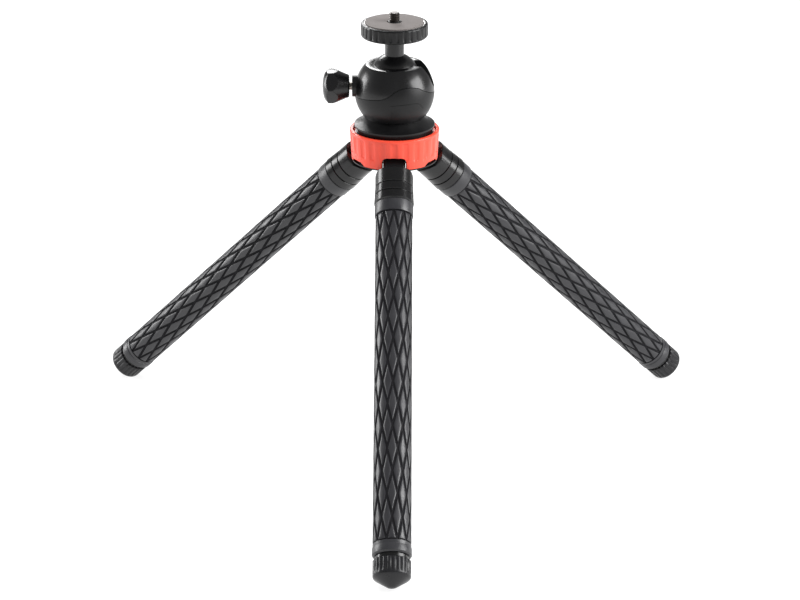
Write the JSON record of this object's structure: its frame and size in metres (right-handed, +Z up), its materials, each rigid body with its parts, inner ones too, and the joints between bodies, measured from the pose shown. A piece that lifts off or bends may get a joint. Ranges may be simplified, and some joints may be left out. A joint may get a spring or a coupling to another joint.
{
  "type": "travel tripod",
  "caption": "Pocket tripod with a ball head, a side clamp knob and bendable rubber-covered legs that fold together under a round hub.",
  "frame": {"origin": "centre of the camera pad's top face, on the axis of the camera screw", "axes": "+Z up along the camera screw, -Y towards the front leg, -X towards the clamp knob"},
  "size_m": [0.3778, 0.3301, 0.2798],
  "materials": {
    "screw_steel": "bright turned steel",
    "pad_rubber": "matte grey-brown rubber",
    "platform_metal": "satin black anodised",
    "ball_metal": "gloss black anodised",
    "liner_plastic": "natural low-friction plastic",
    "housing_gloss": "gloss black",
    "base_metal": "satin black anodised, bright edge",
    "bush_metal": "satin black anodised",
    "knob_gloss": "gloss black",
    "flange_metal": "satin black anodised, bright edge",
    "ring_coral": "satin coral red",
    "hub_metal": "dark grey die-cast",
    "cap_plastic": "matte black",
    "knuckle_metal": "satin dark grey",
    "collar_metal": "satin black anodised",
    "core_alloy": "plain soft alloy",
    "sleeve_rubber": "matte charcoal rubber",
    "ring_dark": "gloss black",
    "foot_rubber": "satin charcoal rubber"
  },
  "bodies": {
    "hub": {"hub_flange": "flange_metal", "hub_ring": "ring_coral", "hub_body": "hub_metal", "head_stud": "screw_steel", "hub_screws": "screw_steel", "hub_cap": "cap_plastic", "front_hinge_pin": "screw_steel", "right_hinge_pin": "screw_steel", "left_hinge_pin": "screw_steel"},
    "head": {"housing_upper": "housing_gloss", "housing_lower": "housing_gloss", "head_base": "base_metal", "clamp_bush": "bush_metal"},
    "shoe": {"brake_shoe": "liner_plastic"},
    "knob": {"clamp_knob": "knob_gloss", "clamp_screw": "screw_steel"},
    "liner": {"ball_liner": "liner_plastic"},
    "ball": {"ball_stem": "ball_metal", "camera_screw": "screw_steel", "screw_ring": "screw_steel"},
    "platform": {"platform": "platform_metal", "platform_pad": "pad_rubber"},
    "front_leg": {"front_knuckle": "knuckle_metal", "front_collar": "collar_metal", "front_core_1": "core_alloy", "front_sleeve_1": "sleeve_rubber"},
    "front_leg_length_2": {"front_core_2": "core_alloy", "front_sleeve_2": "sleeve_rubber"},
    "front_leg_length_3": {"front_core_3": "core_alloy", "front_sleeve_3": "sleeve_rubber"},
    "front_leg_length_4": {"front_core_4": "core_alloy", "front_sleeve_4": "sleeve_rubber", "front_end_ring": "ring_dark", "front_foot": "foot_rubber"},
    "right_leg": {"right_knuckle": "knuckle_metal", "right_collar": "collar_metal", "right_core_1": "core_alloy", "right_sleeve_1": "sleeve_rubber"},
    "right_leg_length_2": {"right_core_2": "core_alloy", "right_sleeve_2": "sleeve_rubber"},
    "right_leg_length_3": {"right_core_3": "core_alloy", "right_sleeve_3": "sleeve_rubber"},
    "right_leg_length_4": {"right_core_4": "core_alloy", "right_sleeve_4": "sleeve_rubber", "right_end_ring": "ring_dark", "right_foot": "foot_rubber"},
    "left_leg": {"left_knuckle": "knuckle_metal", "left_collar": "collar_metal", "left_core_1": "core_alloy", "left_sleeve_1": "sleeve_rubber"},
    "left_leg_length_2": {"left_core_2": "core_alloy", "left_sleeve_2": "sleeve_rubber"},
    "left_leg_length_3": {"left_core_3": "core_alloy", "left_sleeve_3": "sleeve_rubber"},
    "left_leg_length_4": {"left_core_4": "core_alloy", "left_sleeve_4": "sleeve_rubber", "left_end_ring": "ring_dark", "left_foot": "foot_rubber"}
  },
  "joints": [
    {"name": "head_pan", "type": "hinge", "parent": "hub", "child": "head", "pos_m": [0, 0, -0.05933], "axis": [0, 0, 1], "continuous": true},
    {"name": "ball_side_lean", "type": "hinge", "parent": "head", "child": "liner", "pos_m": [0, 0, -0.03443], "axis": [1, 0, 0], "range_deg": [-23, 23]},
    {"name": "ball_lean", "type": "hinge", "parent": "liner", "child": "ball", "pos_m": [0, 0, -0.03443], "axis": [0, 1, 0], "range_deg": [-23, 90]},
    {"name": "platform_turn", "type": "hinge", "parent": "ball", "child": "platform", "pos_m": [0, 0, -0.009], "axis": [0, 0, 1], "continuous": true},
    {"name": "knob_turn", "type": "hinge", "parent": "shoe", "child": "knob", "pos_m": [-0.0273, 0, -0.04043], "axis": [-1, 0, 0], "range_deg": [0, 360]},
    {"name": "shoe_travel", "type": "slide", "parent": "head", "child": "shoe", "axis": [-1, 0, 0], "range_m": [0, 0.0008]},
    {"name": "front_fold", "type": "hinge", "parent": "hub", "child": "front_leg", "pos_m": [0, -0.01585, -0.08108], "axis": [-1, 0, 0], "range_deg": [-46.1, 16]},
    {"name": "front_bend_1", "type": "hinge", "parent": "front_leg", "child": "front_leg_length_2", "pos_m": [0, -0.07908, -0.14193], "axis": [1, 0, 0], "range_deg": [-30, 30]},
    {"name": "front_bend_2", "type": "hinge", "parent": "front_leg_length_2", "child": "front_leg_length_3", "pos_m": [0, -0.11918, -0.18052], "axis": [1, 0, 0], "range_deg": [-30, 30]},
    {"name": "front_bend_3", "type": "hinge", "parent": "front_leg_length_3", "child": "front_leg_length_4", "pos_m": [0, -0.15928, -0.2191], "axis": [1, 0, 0], "range_deg": [-30, 30]},
    {"name": "right_fold", "type": "hinge", "parent": "hub", "child": "right_leg", "pos_m": [0.01373, 0.00792, -0.08108], "axis": [0.5, -0.866, 0], "range_deg": [-46.1, 16]},
    {"name": "right_bend_1", "type": "hinge", "parent": "right_leg", "child": "right_leg_length_2", "pos_m": [0.06848, 0.03954, -0.14193], "axis": [-0.5, 0.866, 0], "range_deg": [-30, 30]},
    {"name": "right_bend_2", "type": "hinge", "parent": "right_leg_length_2", "child": "right_leg_length_3", "pos_m": [0.10321, 0.05959, -0.18052], "axis": [-0.5, 0.866, 0], "range_deg": [-30, 30]},
    {"name": "right_bend_3", "type": "hinge", "parent": "right_leg_length_3", "child": "right_leg_length_4", "pos_m": [0.13794, 0.07964, -0.2191], "axis": [-0.5, 0.866, 0], "range_deg": [-30, 30]},
    {"name": "left_fold", "type": "hinge", "parent": "hub", "child": "left_leg", "pos_m": [-0.01373, 0.00792, -0.08108], "axis": [0.5, 0.866, 0], "range_deg": [-46.1, 16]},
    {"name": "left_bend_1", "type": "hinge", "parent": "left_leg", "child": "left_leg_length_2", "pos_m": [-0.06848, 0.03954, -0.14193], "axis": [-0.5, -0.866, 0], "range_deg": [-30, 30]},
    {"name": "left_bend_2", "type": "hinge", "parent": "left_leg_length_2", "child": "left_leg_length_3", "pos_m": [-0.10321, 0.05959, -0.18052], "axis": [-0.5, -0.866, 0], "range_deg": [-30, 30]},
    {"name": "left_bend_3", "type": "hinge", "parent": "left_leg_length_3", "child": "left_leg_length_4", "pos_m": [-0.13794, 0.07964, -0.2191], "axis": [-0.5, -0.866, 0], "range_deg": [-30, 30]}
  ],
  "couplings": [
    {"joint": "knob_turn", "follows": "shoe_travel", "rad_per_m": 7854},
    {"joint": "front_bend_2", "follows": "front_bend_1", "ratio": 1},
    {"joint": "front_bend_3", "follows": "front_bend_1", "ratio": 1},
    {"joint": "right_bend_2", "follows": "right_bend_1", "ratio": 1},
    {"joint": "right_bend_3", "follows": "right_bend_1", "ratio": 1},
    {"joint": "left_bend_2", "follows": "left_bend_1", "ratio": 1},
    {"joint": "left_bend_3", "follows": "left_bend_1", "ratio": 1}
  ]
}
